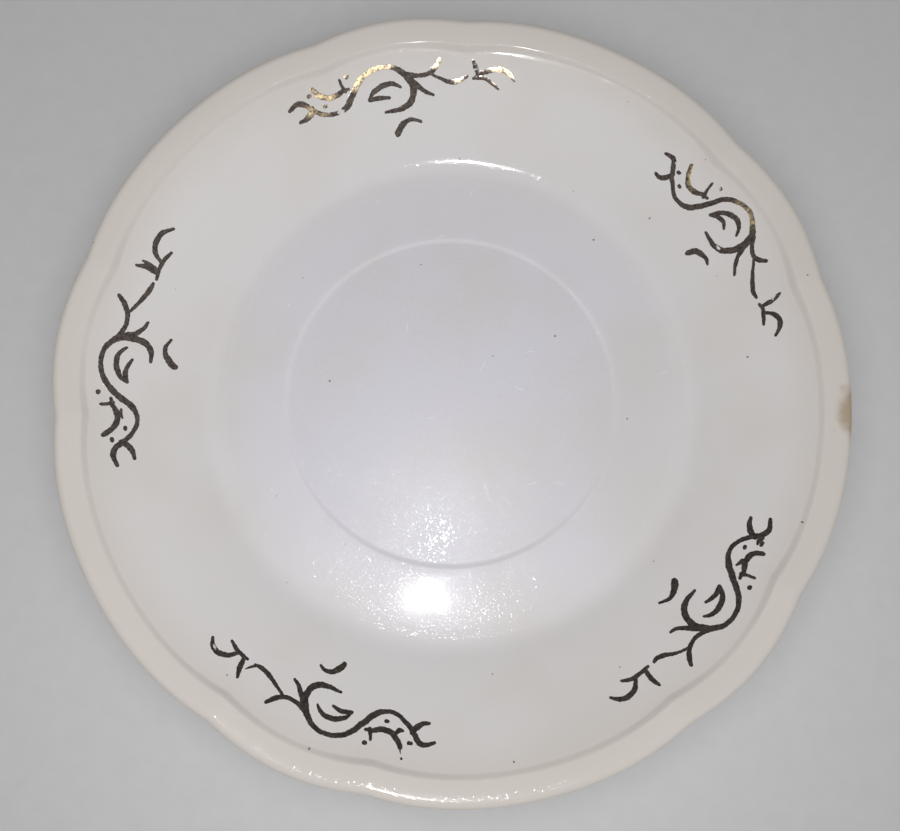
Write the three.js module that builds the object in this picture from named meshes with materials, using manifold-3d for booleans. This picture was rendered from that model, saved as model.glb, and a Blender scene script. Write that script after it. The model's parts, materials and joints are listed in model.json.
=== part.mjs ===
// Tea saucer with a lobed rim, a sunk well for the cup and five gilt scroll motifs on the glaze.
// Millimetres, +Z up. The origin is the centre of the foot's standing face.
import * as THREE from 'three';
import { mergeVertices } from 'three/addons/utils/BufferGeometryUtils.js';
import Module from 'manifold-3d';

const wasm = await Module();
wasm.setup();

// Rim outline: a short lobe over each motif and a long lobe between two motifs
const rimRadius = 75; // axis to the crest of a lobe
const rimHeight = 22.6; // table to the top of the lip
const motifCount = 5;
const firstMotifAngle = 90; // degrees, counter-clockwise from +X
const shortLobeAngle = 24; // degrees from notch to notch
const notchDepth = 1.1; // crest of a lobe to the bottom of a notch
const notchSoftness = 0.15; // how much the glaze fills the notch
const shortLobeFullness = 1.8; // power of the lobe's curve: a higher one is flatter at its crest
const longLobeFullness = 3.3;

// Border: the sloping band inside the lip, closed by a moulded line that follows the lobes
const lipRadius = 1.25;
const borderSlope = 22; // degrees
const borderWidth = 4.6; // edge to the outer side of the moulded line
const lineWidth = 1.7;
const lineHeight = 1.35; // rise across the line at the crest of a lobe

// Dish: a flat sunk well, a low conical skirt round it and a straight steeper wall
const floorThickness = 3.2;
const wellRadius = 33.3;
const wellStepWidth = 1.4;
const wellStepHeight = 0.4;
const skirtWidth = 15.3; // well step to the corner that the bend rounds off
const skirtSlope = 4.6; // degrees
const bendReach = 3; // corner to either end of the bend

// Back and foot ring
const standRadius = 38; // axis to the middle of the standing face
const standWidth = 2.4;
const footRounding = 0.5; // broken edge beside the standing face
const footDraft = 1.4; // how far each side of the foot leans
const footHeight = 3; // table to the corner between foot and back
const footRecess = 2.5; // depth of the hollow inside the foot
const backSlope = 4; // degrees, where the back leaves the foot
const backBend = 14; // foot to the corner that the back's curve rounds off

// Gilding: brush strokes of one flat motif, draped on the wall of the dish
const motifInset = 9; // edge of a lobe to the circle that the motifs are laid on
const giltThickness = 0.1;
const giltGap = 0.15; // clearance between a stroke and the facets of the dish
const brushLoad = 1.35; // painted width of a stroke over the width in its list
const brushStep = 1.9; // length of one facet along a stroke
const dotSides = 10;

// Facets of the body
const shortLobeSteps = 4; // from the crest of a lobe to its notch
const longLobeSteps = 6;
const bendSteps = 4;
const lipSteps = 7;
const backSteps = 5;

const glaze = new THREE.MeshStandardMaterial({ color: 0xe3dfdd, roughness: 0.12, metalness: 0 });
const gilt = new THREE.MeshStandardMaterial({ color: 0xa88648, roughness: 0.35, metalness: 1 });

const radians = THREE.MathUtils.degToRad;
const motifPitch = (2 * Math.PI) / motifCount;
const shortHalf = radians(shortLobeAngle) / 2;
const longHalf = motifPitch / 2 - shortHalf;
const borderTangent = Math.tan(radians(borderSlope));
const skirtTangent = Math.tan(radians(skirtSlope));

function motifAngle(index) {
  return radians(firstMotifAngle) + index * motifPitch;
}

function lobe(offset, half, fullness) {
  return rimRadius - notchDepth * (Math.abs(offset) / half) ** fullness;
}

// The outline at an angle is the outer one of the two neighbouring lobes, with the notch softened
function edgeRadius(angle) {
  const turns = (angle - motifAngle(0)) / motifPitch;
  const fromMotif = Math.abs(turns - Math.round(turns)) * motifPitch;
  const short = lobe(fromMotif, shortHalf, shortLobeFullness);
  const long = lobe(motifPitch / 2 - fromMotif, longHalf, longLobeFullness);
  return (short + long + Math.hypot(short - long, notchSoftness)) / 2;
}

// Heights and insets of the border, measured from the edge inwards
const lipInset = lipRadius * (1 + Math.sin(radians(borderSlope)));
const lipStartHeight = rimHeight - lipRadius * (1 - Math.cos(radians(borderSlope)));
const lineInset = borderWidth + lineWidth;

function borderHeight(inset) {
  return lipStartHeight - (inset - lipInset) * borderTangent;
}

// The wall runs straight from the corner of the bend to the foot of the moulded line
const floorHeight = footRecess + floorThickness;
const skirtStart = new THREE.Vector2(wellRadius + wellStepWidth, floorHeight + wellStepHeight);
const corner = new THREE.Vector2(skirtStart.x + skirtWidth, skirtStart.y + skirtWidth * skirtTangent);
const wallTop = new THREE.Vector2(rimRadius - lineInset, borderHeight(borderWidth) - lineHeight);
const skirtDirection = corner.clone().sub(skirtStart).normalize();
const wallDirection = wallTop.clone().sub(corner).normalize();
const bendStart = corner.clone().addScaledVector(skirtDirection, -bendReach);
const bendEnd = corner.clone().addScaledVector(wallDirection, bendReach);
const bend = new THREE.QuadraticBezierCurve(bendStart, corner, bendEnd);

function bendHeight(radius) {
  const a = bendStart.x - 2 * corner.x + bendEnd.x;
  const b = corner.x - bendStart.x;
  const c = bendStart.x - radius;
  const t = -c / (b + Math.sqrt(b * b - a * c));
  return bend.getPoint(t).y;
}

function wallHeight(radius) {
  if (radius <= wellRadius) return floorHeight;
  if (radius < skirtStart.x) {
    const rise = THREE.MathUtils.smoothstep(radius, wellRadius, skirtStart.x);
    return floorHeight + wellStepHeight * rise;
  }
  if (radius < bendStart.x) return skirtStart.y + (radius - skirtStart.x) * skirtTangent;
  if (radius < bendEnd.x) return bendHeight(radius);
  return bendEnd.y + ((radius - bendEnd.x) * wallDirection.y) / wallDirection.x;
}

// Height of the dish's upper face: the wall is a surface of revolution, the border follows the lobes,
// and the moulded line is the step between them
function dishHeight(radius, angle) {
  const inset = edgeRadius(angle) - radius;
  const raised = 1 - THREE.MathUtils.smoothstep(inset, borderWidth, lineInset);
  return THREE.MathUtils.lerp(wallHeight(radius), borderHeight(inset), raised);
}

// The back's curve leaves the foot at backSlope and ends tangent to the underside of the lip
const standOuter = standRadius + standWidth / 2;
const standInner = standRadius - standWidth / 2;
const footCorner = new THREE.Vector2(standOuter + footRounding + footDraft, footHeight);
const backCorner = new THREE.Vector2(
  footCorner.x + backBend,
  footCorner.y + backBend * Math.tan(radians(backSlope)),
);
const lipCentre = new THREE.Vector2(rimRadius - lipRadius, rimHeight - lipRadius);
const toLip = lipCentre.clone().sub(backCorner);
const undersideAngle = toLip.angle() - Math.asin(lipRadius / toLip.length());
const lipEnd = new THREE.Vector2(Math.sin(undersideAngle), -Math.cos(undersideAngle))
  .multiplyScalar(lipRadius)
  .add(lipCentre);
const back = new THREE.QuadraticBezierCurve(lipEnd, backCorner, footCorner);

// One section of the saucer at an angle, from the edge of the well over the lip and back under the foot
function section(angle) {
  const edge = edgeRadius(angle);
  const upperRadii = [
    wellRadius,
    wellRadius + wellStepWidth / 2,
    skirtStart.x,
    ...bend.getPoints(bendSteps).map((point) => point.x),
    edge - lineInset,
    edge - borderWidth - lineWidth / 2,
    edge - borderWidth,
  ];
  const upper = upperRadii.map((radius) => [radius, dishHeight(radius, angle)]);

  const lipStart = Math.PI / 2 + radians(borderSlope);
  const lipSweep = lipStart - (undersideAngle - Math.PI / 2);
  const lip = [];
  for (let step = 0; step <= lipSteps; step += 1) {
    const turn = lipStart - (lipSweep * step) / lipSteps;
    lip.push([
      edge - lipRadius + lipRadius * Math.cos(turn),
      rimHeight - lipRadius + lipRadius * Math.sin(turn),
    ]);
  }

  // The lobes fade out of the back towards the foot
  const under = [];
  for (let step = 1; step <= backSteps; step += 1) {
    const t = step / backSteps;
    const point = back.getPoint(t);
    under.push([point.x + (edge - rimRadius) * (1 - t) ** 2, point.y]);
  }

  const foot = [
    [standOuter + footRounding, footRounding],
    [standOuter, 0],
    [standInner, 0],
    [standInner - footRounding, footRounding],
    [standInner - footRounding - footDraft, footRecess],
  ];
  return [...upper, ...lip, ...under, ...foot];
}

// Angles of the sections: closer together towards each notch
function sectionAngles() {
  const angles = [];
  const addHalf = (crest, half, steps, side) => {
    for (let step = 0; step < steps; step += 1) {
      const part = side > 0 ? step : steps - step;
      angles.push(crest + side * half * Math.sin(((part / steps) * Math.PI) / 2));
    }
  };
  for (let index = 0; index < motifCount; index += 1) {
    const shortCrest = motifAngle(index);
    const longCrest = shortCrest + motifPitch / 2;
    addHalf(shortCrest, shortHalf, shortLobeSteps, 1);
    addHalf(longCrest, longHalf, longLobeSteps, -1);
    addHalf(longCrest, longHalf, longLobeSteps, 1);
    addHalf(shortCrest + motifPitch, shortHalf, shortLobeSteps, -1);
  }
  return angles;
}

// The body is a loft of the sections, closed by a fan over the well and one inside the foot
function saucerBody() {
  const angles = sectionAngles();
  const sections = angles.map(section);
  const stations = sections[0].length;
  const positions = [0, 0, floorHeight, 0, 0, footRecess];
  sections.forEach((points, i) => {
    for (const [radius, height] of points) {
      positions.push(radius * Math.cos(angles[i]), radius * Math.sin(angles[i]), height);
    }
  });
  const wellCentre = 0;
  const baseCentre = 1;
  const vertex = (i, j) => 2 + (i % angles.length) * stations + j;
  const faces = [];
  for (let i = 0; i < angles.length; i += 1) {
    faces.push(wellCentre, vertex(i, 0), vertex(i + 1, 0));
    for (let j = 0; j < stations - 1; j += 1) {
      faces.push(vertex(i, j), vertex(i, j + 1), vertex(i + 1, j + 1));
      faces.push(vertex(i, j), vertex(i + 1, j + 1), vertex(i + 1, j));
    }
    faces.push(baseCentre, vertex(i + 1, stations - 1), vertex(i, stations - 1));
  }
  return closedGeometry(positions, faces);
}

function closedGeometry(positions, faces) {
  const geometry = new THREE.BufferGeometry();
  geometry.setAttribute('position', new THREE.Float32BufferAttribute(positions, 3));
  geometry.setIndex(faces);
  geometry.computeVertexNormals();
  return geometry;
}

// The motif, seen with the rim upwards, from the crest of its scroll.
// A stroke is a brush path of points [along the rim clockwise, towards the rim, brush width].
const strokes = {
  gilt_scroll: [
    // Upper prong of the fork, the valley, the crest and the hook
    [
      [-20, -2.1, 0.5], [-18, -1.65, 0.75], [-16.7, -2.3, 0.85], [-15.6, -3.8, 0.8],
      [-14.3, -5.1, 0.7], [-12.5, -6.05, 0.65], [-10.5, -6.15, 0.65], [-8.6, -5.3, 0.95],
      [-6.6, -3.2, 0.95], [-4.3, -1.15, 0.8], [-2, -0.15, 0.68], [0.6, 0, 0.65],
      [2.6, -0.65, 0.75], [4.5, -2.2, 1], [5.75, -4.3, 1.15], [5, -6.5, 1.05],
      [2.9, -7.45, 0.8], [-0.1, -7.5, 0.45],
    ],
    // Lower prong of the fork
    [[-19.1, -5.2, 0.5], [-17.6, -5, 0.75], [-16.3, -4.3, 0.95], [-15.6, -3.5, 0.8]],
    // Stem with its upturned spur
    [
      [3, -1, 0.6], [5, -2.1, 0.75], [7.4, -2.6, 0.62], [9.4, -2.3, 0.7],
      [10.7, -1.3, 0.8], [11.5, -0.3, 0.62],
    ],
    // Thin end of the stem
    [[9.6, -2.5, 0.45], [11.8, -3.4, 0.55], [14, -4.1, 0.7], [15.8, -4.35, 0.65], [17, -4.2, 0.4]],
    // Thorn on the back of the hook
    [[5.6, -3.2, 0.95], [7, -4.4, 0.8], [8.5, -5.4, 0.62], [9.9, -5.9, 0.4]],
  ],
  gilt_leaf: [
    [
      [-3.9, -4.5, 0.45], [-2.9, -3.4, 0.7], [-1.4, -2.7, 0.8], [0.2, -2.5, 0.75],
      [1.8, -2.85, 0.65], [3.1, -3.75, 0.38],
    ],
    [[-3.8, -4.5, 0.6], [-2.2, -4.2, 0.72], [-0.8, -4.35, 0.62], [0.6, -4.85, 0.4]],
  ],
  gilt_comma: [
    [[0.8, -11.6, 1.1], [1.9, -10.6, 1.1], [3.2, -9.85, 0.8], [4.6, -9.6, 0.62], [6.7, -10.2, 0.4]],
  ],
  gilt_bracket: [
    [
      [-14.1, -0.95, 0.75], [-13.2, -2.1, 0.8], [-12, -2.95, 0.8], [-10.6, -3.15, 0.78],
      [-9.3, -2.85, 0.75], [-8.4, -2.4, 0.55],
    ],
    [[-8.5, -0.7, 0.4], [-8.4, -1.7, 0.55], [-8.1, -2.6, 0.7]],
    [[-8.8, -2.6, 0.6], [-7.3, -2.45, 0.42]],
  ],
  gilt_tail: [
    [[18.4, -4.2, 0.35], [20.2, -4.1, 0.58], [22, -4.2, 0.62], [23.8, -4.7, 0.38]],
    [[21.3, -3.9, 0.62], [22.4, -2.6, 0.75], [24.1, -1.85, 0.78], [25.8, -2.05, 0.72], [27.3, -3.1, 0.48]],
    [[18.4, -0.9, 0.3], [19.1, -2.2, 0.85], [19.3, -3.9, 0.7]],
  ],
};

// Dots of the motif: [along, towards the rim, half length, half width]
const dots = {
  gilt_rim_dot: [-6.6, -0.45, 0.5, 0.42],
  gilt_hollow_dot: [-13, -4.3, 0.7, 0.38],
  gilt_fork_dot: [-15.2, -1.9, 0.5, 0.34],
};

// Each motif was laid by hand: a shift along the rim and outwards, a lean in degrees,
// and a little stretch in length and height
const layings = [
  { along: -2.35, out: 1.6, lean: -0.5, long: 1.02, tall: 0.95 },
  { along: -3.1, out: 1.25, lean: 0.55, long: 1.04, tall: 0.96 },
  { along: -6.35, out: 0.85, lean: 0.2, long: 1, tall: 0.91 },
  { along: -5.15, out: 1.3, lean: -0.05, long: 0.99, tall: 0.94 },
  { along: -4.15, out: 1.45, lean: -0.55, long: 0.95, tall: 0.91 },
];

// Outline of a brush path: both sides of the stroke, with a short point at each end
function brushOutline(path) {
  const curve = new THREE.CatmullRomCurve3(path.map((point) => new THREE.Vector3(...point)));
  const steps = Math.max(2, Math.round(curve.getLength() / brushStep));
  const left = [];
  const right = [];
  for (let step = 0; step <= steps; step += 1) {
    const centre = curve.getPointAt(step / steps);
    const heading = curve.getTangentAt(step / steps);
    const forward = new THREE.Vector2(heading.x, heading.y).setLength((brushLoad * centre.z) / 2);
    const side = new THREE.Vector2(-forward.y, forward.x);
    const middle = new THREE.Vector2(centre.x, centre.y);
    if (step === 0) left.push(middle.clone().sub(forward));
    left.push(middle.clone().add(side));
    right.unshift(middle.clone().sub(side));
    if (step === steps) left.push(middle.clone().add(forward));
  }
  return [...left, ...right];
}

function dotOutline([along, out, halfLength, halfWidth]) {
  return new THREE.EllipseCurve(along, out, halfLength, halfWidth).getPoints(dotSides).slice(0, -1);
}

// A flat film of gilding: the outlines are drawn to one thickness and joined
function flatFilm(outlines) {
  const films = outlines.map((outline) => {
    const shape = new THREE.Shape(outline);
    const film = new THREE.ExtrudeGeometry(shape, { depth: giltThickness, bevelEnabled: false });
    film.deleteAttribute('normal');
    film.deleteAttribute('uv');
    const welded = mergeVertices(film);
    const mesh = new wasm.Mesh({
      numProp: 3,
      vertProperties: new Float32Array(welded.attributes.position.array),
      triVerts: new Uint32Array(welded.index.array),
    });
    return new wasm.Manifold(mesh);
  });
  return films.reduce((whole, film) => whole.add(film)).getMesh();
}

// Lay a flat film on the dish: lengths run along the motif circle, and heights above the upper face
function drape(film, index) {
  const { along, out, lean, long, tall } = layings[index % layings.length];
  const motifRadius = rimRadius - motifInset;
  const turn = radians(lean);
  const positions = [];
  for (let v = 0; v < film.vertProperties.length; v += 3) {
    const [x, y, height] = film.vertProperties.slice(v, v + 3);
    const across = along + Math.cos(turn) * x * long + Math.sin(turn) * y * tall;
    const outward = out - Math.sin(turn) * x * long + Math.cos(turn) * y * tall;
    const angle = motifAngle(index) - across / motifRadius;
    const radius = motifRadius + outward;
    positions.push(
      radius * Math.cos(angle),
      radius * Math.sin(angle),
      dishHeight(radius, angle) + giltGap + height,
    );
  }
  return closedGeometry(positions, [...film.triVerts]);
}

function addPiece(group, name, geometry, material) {
  const mesh = new THREE.Mesh(geometry, material);
  mesh.name = name;
  group.add(mesh);
}

const saucer = new THREE.Group();
addPiece(saucer, 'saucer_body', saucerBody(), glaze);

const films = new Map();
for (const [name, paths] of Object.entries(strokes)) films.set(name, flatFilm(paths.map(brushOutline)));
for (const [name, dot] of Object.entries(dots)) films.set(name, flatFilm([dotOutline(dot)]));
for (let index = 0; index < motifCount; index += 1) {
  for (const [name, film] of films) addPiece(saucer, `${name}_${index + 1}`, drape(film, index), gilt);
}

export default saucer;
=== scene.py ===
# %% [markdown]
# # A gilded tea saucer
# One saucer of white glazed porcelain, with a lobed rim and five gold scrolls brushed on the slope
# inside it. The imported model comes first: it fixes the size and place of every piece, and this
# script gives the pieces their fine shape and their finish. Lengths are in millimetres here, and
# become metres when a mesh is made.

# %% Load the frame
import json
import math
import bpy
import numpy as np
from mathutils import Matrix, Vector

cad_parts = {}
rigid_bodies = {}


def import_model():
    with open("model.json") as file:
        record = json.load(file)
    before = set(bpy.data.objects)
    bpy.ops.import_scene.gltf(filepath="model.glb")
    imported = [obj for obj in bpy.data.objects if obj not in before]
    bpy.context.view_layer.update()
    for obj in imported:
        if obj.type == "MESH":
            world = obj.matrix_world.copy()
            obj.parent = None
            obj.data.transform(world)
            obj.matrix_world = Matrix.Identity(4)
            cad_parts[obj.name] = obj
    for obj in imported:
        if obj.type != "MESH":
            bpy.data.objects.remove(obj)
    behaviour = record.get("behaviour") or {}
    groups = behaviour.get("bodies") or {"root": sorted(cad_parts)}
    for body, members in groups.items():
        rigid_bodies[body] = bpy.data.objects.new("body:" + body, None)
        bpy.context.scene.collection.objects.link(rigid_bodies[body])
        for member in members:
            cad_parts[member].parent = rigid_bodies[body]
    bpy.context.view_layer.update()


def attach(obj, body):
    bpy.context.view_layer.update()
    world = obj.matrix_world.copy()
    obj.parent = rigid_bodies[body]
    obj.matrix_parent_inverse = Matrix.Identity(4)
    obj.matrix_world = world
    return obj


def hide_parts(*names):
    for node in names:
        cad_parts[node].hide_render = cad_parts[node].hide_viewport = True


MM = 0.001
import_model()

# %% [markdown]
# ## The camera
# The saucer is seen from about 14 cm above its rim, nearly straight down, so its near side looks
# larger than its far side. A camera can be turned with angles or with a tracking constraint. Here
# a matrix holds the place and the three small turns, because they were worked out from the rim's
# outline. A focal length of 750 pixels in a picture 900 pixels wide gives the lens.

# %% Camera
SENSOR_WIDTH = 36
FOCAL_PIXELS = 750.35
PICTURE_PIXELS = 900
CAMERA_PLACE = Vector((-5.3, -22.6, 160.26)) * MM
CAMERA_TURNS = [("Z", -10.09), ("X", 7.2886), ("Y", -0.3913)]

scene = bpy.context.scene
camera_data = bpy.data.cameras.new("camera")
camera_data.sensor_width = SENSOR_WIDTH
camera_data.lens = SENSOR_WIDTH * FOCAL_PIXELS / PICTURE_PIXELS
camera_data.clip_start = 0.01
camera = bpy.data.objects.new("camera", camera_data)
placement = Matrix.Translation(CAMERA_PLACE)
for axis, degrees in CAMERA_TURNS:
    placement = placement @ Matrix.Rotation(math.radians(degrees), 4, axis)
camera.matrix_world = placement
scene.collection.objects.link(camera)
scene.camera = camera
print("lens: %.2f mm" % camera_data.lens)

# %% [markdown]
# ## Colours and nodes
# A material is a graph of nodes. Writing each node out takes many lines, so one small function adds
# a node, sets its properties, and fills or links its inputs. Colours are written as in any paint
# program, in sRGB hex, and turned to the linear numbers that the renderer works with.


# %% Helpers for materials
def colour(code):
    """Linear RGBA of an sRGB hex colour: each channel is freed from the sRGB curve."""
    srgb = np.array([int(code[i : i + 2], 16) for i in (1, 3, 5)]) / 255
    linear = np.where(srgb <= 0.04045, srgb / 12.92, ((srgb + 0.055) / 1.055) ** 2.4)
    return (*linear.tolist(), 1.0)


def add_node(tree, kind, settings, inputs):
    """Add a node, set its properties, and give each input a value or a link from another node."""
    node = tree.nodes.new(kind)
    for name, value in settings.items():
        setattr(node, name, value)
    for socket, value in inputs.items():
        if isinstance(value, bpy.types.NodeSocket):
            tree.links.new(value, node.inputs[socket])
        else:
            node.inputs[socket].default_value = value
    return node


def per_size(millimetres):
    """Scale of a pattern on Object coordinates whose cells measure this many millimetres."""
    return 1 / (millimetres * MM)


def start_material(name):
    """A new material: its node tree, its Principled shader and its Object coordinates."""
    material = bpy.data.materials.new(name)
    material.use_nodes = True
    tree = material.node_tree
    place = add_node(tree, "ShaderNodeTexCoord", {}, {}).outputs["Object"]
    return material, tree, tree.nodes["Principled BSDF"], place


print("white in linear numbers:", colour("#ffffff"))

# %% [markdown]
# Some kinds of node come up again and again: a value that the mesh carries, a noise, a sum, a ramp, a
# mix of two colours and a bump. Each gets a name here, so that a finish reads as a few short lines.


# %% Helpers for common nodes
def attribute(tree, name):
    """The value of this name that the mesh carries at each point."""
    return add_node(tree, "ShaderNodeAttribute", {"attribute_name": name}, {}).outputs["Fac"]


def noise(tree, place, size, detail):
    """Soft noise from 0 to 1 with blobs of this many millimetres and this many finer layers."""
    inputs = {"Vector": place, "Scale": per_size(size), "Detail": detail}
    return add_node(tree, "ShaderNodeTexNoise", {}, inputs).outputs["Fac"]


def compute(tree, operation, first, second=0.0, third=0.0):
    """The result of a Math node on values or links. Most operations leave the third unused."""
    inputs = {0: first, 1: second, 2: third}
    return add_node(tree, "ShaderNodeMath", {"operation": operation}, inputs).outputs[0]


def ramp(tree, value, start, end, low=0.0, high=1.0, easing="SMOOTHSTEP"):
    """Low before the start, high past the end, and an eased or straight way between them."""
    inputs = {"Value": value, 1: start, 2: end, 3: low, 4: high}
    return add_node(tree, "ShaderNodeMapRange", {"interpolation_type": easing}, inputs).outputs[0]


def blend(tree, share, first, second):
    """The first colour at share 0, the second at share 1, and a mix of them between."""
    inputs = {0: share, 6: first, 7: second}
    return add_node(tree, "ShaderNodeMix", {"data_type": "RGBA"}, inputs).outputs[2]


def relief(tree, height, depth, **more):
    """The normal of a surface that a height from 0 to 1 raises by up to this many millimetres."""
    inputs = {"Height": height, "Distance": depth * MM, "Strength": 1.0, **more}
    return add_node(tree, "ShaderNodeBump", {}, inputs).outputs[0]


print("scale of a pattern of 4 mm:", per_size(4))

# %% [markdown]
# ## The light
# The glints in the glaze show where the lamp was: about 14 cm above the rim, 9 mm from the lens. One
# small lamp there would make the glints, but also a hard shadow. So two disc lamps share the place. The
# small one shows only in reflections, and gives the glints their shape. The wide one lights only what
# scatters light, and its shadow is soft.

# %% Lamps
LAMP_PLACE = Vector((-10.3, -30.65, 160.26)) * MM


def add_lamp(name, size, power):
    """A disc lamp beside the lens, this many millimetres across, that the camera doesn't see."""
    lamp_data = bpy.data.lights.new(name, "AREA")
    lamp_data.shape = "DISK"
    lamp_data.size = size * MM
    lamp_data.energy = power
    lamp = bpy.data.objects.new(name, lamp_data)
    lamp.location = LAMP_PLACE
    lamp.visible_camera = False
    scene.collection.objects.link(lamp)
    return lamp


lens_lamp = add_lamp("lens_lamp", size=5, power=0.085)
lens_lamp.visible_diffuse = False
soft_lamp = add_lamp("soft_lamp", size=100, power=0.1)
soft_lamp.visible_glossy = False
print("lamps at", [round(x / MM, 1) for x in LAMP_PLACE])

# %% [markdown]
# The rest of the light comes from all round. Large lamps would do for that, but the polished dish would
# mirror their outlines. So the room itself glows, a little more from the viewer's side, and the glow has
# no edge: it follows the cosine to its brightest direction.

# %% Glow of the room
BRIGHTEST_WAY = Vector((0.2, -0.73, 0.65))
scene.view_settings.view_transform = "Standard"
scene.world = bpy.data.worlds.new("soft_room")
scene.world.use_nodes = True
tree = scene.world.node_tree
outlook = add_node(tree, "ShaderNodeTexCoord", {}, {}).outputs["Generated"]
towards = add_node(
    tree, "ShaderNodeVectorMath", {"operation": "DOT_PRODUCT"}, {0: outlook, 1: BRIGHTEST_WAY}
)
glow = ramp(tree, towards.outputs["Value"], 0, 1, low=0.24, high=0.56, easing="LINEAR")
background = tree.nodes["Background"]
tree.links.new(glow, background.inputs["Strength"])
background.inputs["Color"].default_value = colour("#ffffff")
print("room nodes:", len(tree.nodes))

# %% [markdown]
# ## The table
# A plain matt table top of pale grey paper carries the saucer. It needs only a sheet of four
# corners, and a faint mottle from a noise pattern, as paper has.

# %% Table top
TABLE_HALF = 1.5
paper, tree, shader, place = start_material("grey_paper")
mottle = noise(tree, place, size=4, detail=3)
shade = blend(tree, mottle, colour("#dededf"), colour("#e6e6e6"))
tree.links.new(shade, shader.inputs["Base Color"])
shader.inputs["Roughness"].default_value = 0.9
signs = [(-1, -1), (1, -1), (1, 1), (-1, 1)]
corners = [(x * TABLE_HALF, y * TABLE_HALF, 0) for x, y in signs]
table_mesh = bpy.data.meshes.new("table_top")
table_mesh.from_pydata(corners, [], [(0, 1, 2, 3)])
table_mesh.materials.append(paper)
table = bpy.data.objects.new("table_top", table_mesh)
scene.collection.objects.link(table)
print("table top: %.0f m square" % (2 * TABLE_HALF))

# %% [markdown]
# ## The glaze
# Porcelain is a white body under a thin coat of clear glass. The clear coat mirrors the lamp
# sharply, and the body under it scatters light. The Principled shader has both: its coat is the
# glass, and its base is the white body, a little rough so that each glint gets a soft glow. The well
# looks cool, the wall neutral and the border warm, and the moulded line is painted a little greyer as
# painted shade in its step. A painted texture could hold this, but it needs an unwrapped mesh. So the
# mesh carries two values, the distance from the axis and from the edge in millimetres, and the colours
# follow from them.

# %% Glaze: colour by zone
LINE_MIDDLE = 5.2
CLOUD_SIZE = 24
glaze, tree, shader, place = start_material("glazed_porcelain")
from_axis = attribute(tree, "from_axis")
from_edge = attribute(tree, "from_edge")
on_wall = ramp(tree, from_axis, 30, 60)
on_border = ramp(tree, from_edge, 12, 3)
clouded = ramp(tree, noise(tree, place, CLOUD_SIZE, detail=3), 0.4, 0.75, high=0.45)
from_line = compute(tree, "ABSOLUTE", compute(tree, "SUBTRACT", from_edge, LINE_MIDDLE))
# Painted shade: a band 1 mm wide along the step of the moulded line is tinted greyer.
line_shade = ramp(tree, from_line, 0.6, 0.1, high=0.2)

slope_tint = blend(tree, on_wall, colour("#e2e0e8"), colour("#e7e4e3"))
zone_tint = blend(tree, on_border, slope_tint, colour("#e1d9d2"))
cloudy_tint = blend(tree, clouded, zone_tint, colour("#dcd6cf"))
glaze_tint = blend(tree, line_shade, cloudy_tint, colour("#cfc7c1"))
print("glaze: three zones, a cloud of %d mm and a line 1 mm wide" % CLOUD_SIZE)

# %% [markdown]
# Spoons leave a few clear scratches. Stretched noise would give scratches too, but it runs into patches.
# So a Voronoi pattern splits the dish into cells of 9 mm, and some of the cells get one short line at an
# angle of its own: the way from the cell's point is turned by a random angle, and the line is where it
# is long one way and short the other. A real scratch is a few hundredths of a millimetre wide, and is
# drawn wider here so that it shows. The lines are painted near-white, as a painted glint of the light
# that a scratch catches.

# %% Glaze: scratches
SCRATCH_CELL = 9
SCRATCH_HALF_LENGTH = 1.1
SCRATCH_HALF_WIDTH = 0.06
SCRATCH_RARITY = 0.6


def cells(tree, place, size):
    """The outputs of a flat Voronoi pattern whose cells measure this many millimetres."""
    inputs = {"Vector": place, "Scale": per_size(size)}
    return add_node(tree, "ShaderNodeTexVoronoi", {"voronoi_dimensions": "2D"}, inputs).outputs


cell = cells(tree, place, SCRATCH_CELL)
lot = add_node(tree, "ShaderNodeSeparateColor", {}, {"Color": cell["Color"]}).outputs
from_point = add_node(
    tree, "ShaderNodeVectorMath", {"operation": "SUBTRACT"}, {0: place, 1: cell["Position"]}
)
bearing = compute(tree, "MULTIPLY", lot[0], 2 * math.pi)
turned = add_node(
    tree,
    "ShaderNodeVectorRotate",
    {"rotation_type": "Z_AXIS"},
    {"Vector": from_point.outputs[0], "Angle": bearing},
)
way = add_node(tree, "ShaderNodeSeparateXYZ", {}, {"Vector": turned.outputs[0]}).outputs
half_length = compute(tree, "MULTIPLY", lot[2], SCRATCH_HALF_LENGTH * MM)
inside_length = compute(tree, "COMPARE", way[0], 0.0, half_length)
inside_width = compute(tree, "COMPARE", way[1], 0.0, SCRATCH_HALF_WIDTH * MM)
chosen = compute(tree, "GREATER_THAN", lot[1], SCRATCH_RARITY)
scratch = compute(tree, "MULTIPLY", compute(tree, "MULTIPLY", inside_length, inside_width), chosen)
scuffed = ramp(tree, from_axis, 56, 42, high=0.85)
scratch_share = compute(tree, "MULTIPLY", scratch, scuffed)
# Painted glint: the scratches are mixed towards near-white in the glaze's colour.
painted_scratch_glints = blend(tree, scratch_share, glaze_tint, colour("#fdfcfb"))
print("glaze: scratches up to %.1f mm" % (2 * SCRATCH_HALF_LENGTH))

# %% [markdown]
# Such specks are mostly grains of iron that burnt brown in the kiln. Dots could be set one by one, but
# a second Voronoi pattern scatters them: the points of some cells become specks of different sizes.

# %% Glaze: specks
SPECK_CELL = 12
SPECK_RADIUS = 0.216
grid = cells(tree, place, SPECK_CELL)
picked = add_node(tree, "ShaderNodeSeparateColor", {}, {"Color": grid["Color"]}).outputs
speck_reach = ramp(tree, picked[0], 0.6, 1, high=SPECK_RADIUS / SPECK_CELL, easing="LINEAR")
speck = compute(tree, "LESS_THAN", grid["Distance"], speck_reach)
specked = blend(tree, speck, painted_scratch_glints, colour("#857a70"))
print("glaze: specks up to %.2f mm" % (2 * SPECK_RADIUS))

# %% [markdown]
# The stain sits on the lip, on the right. A Mapping node of the Texture kind moves and turns the
# coordinates so that the stain becomes a ball of radius 1, and noise makes its edge uneven.

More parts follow.
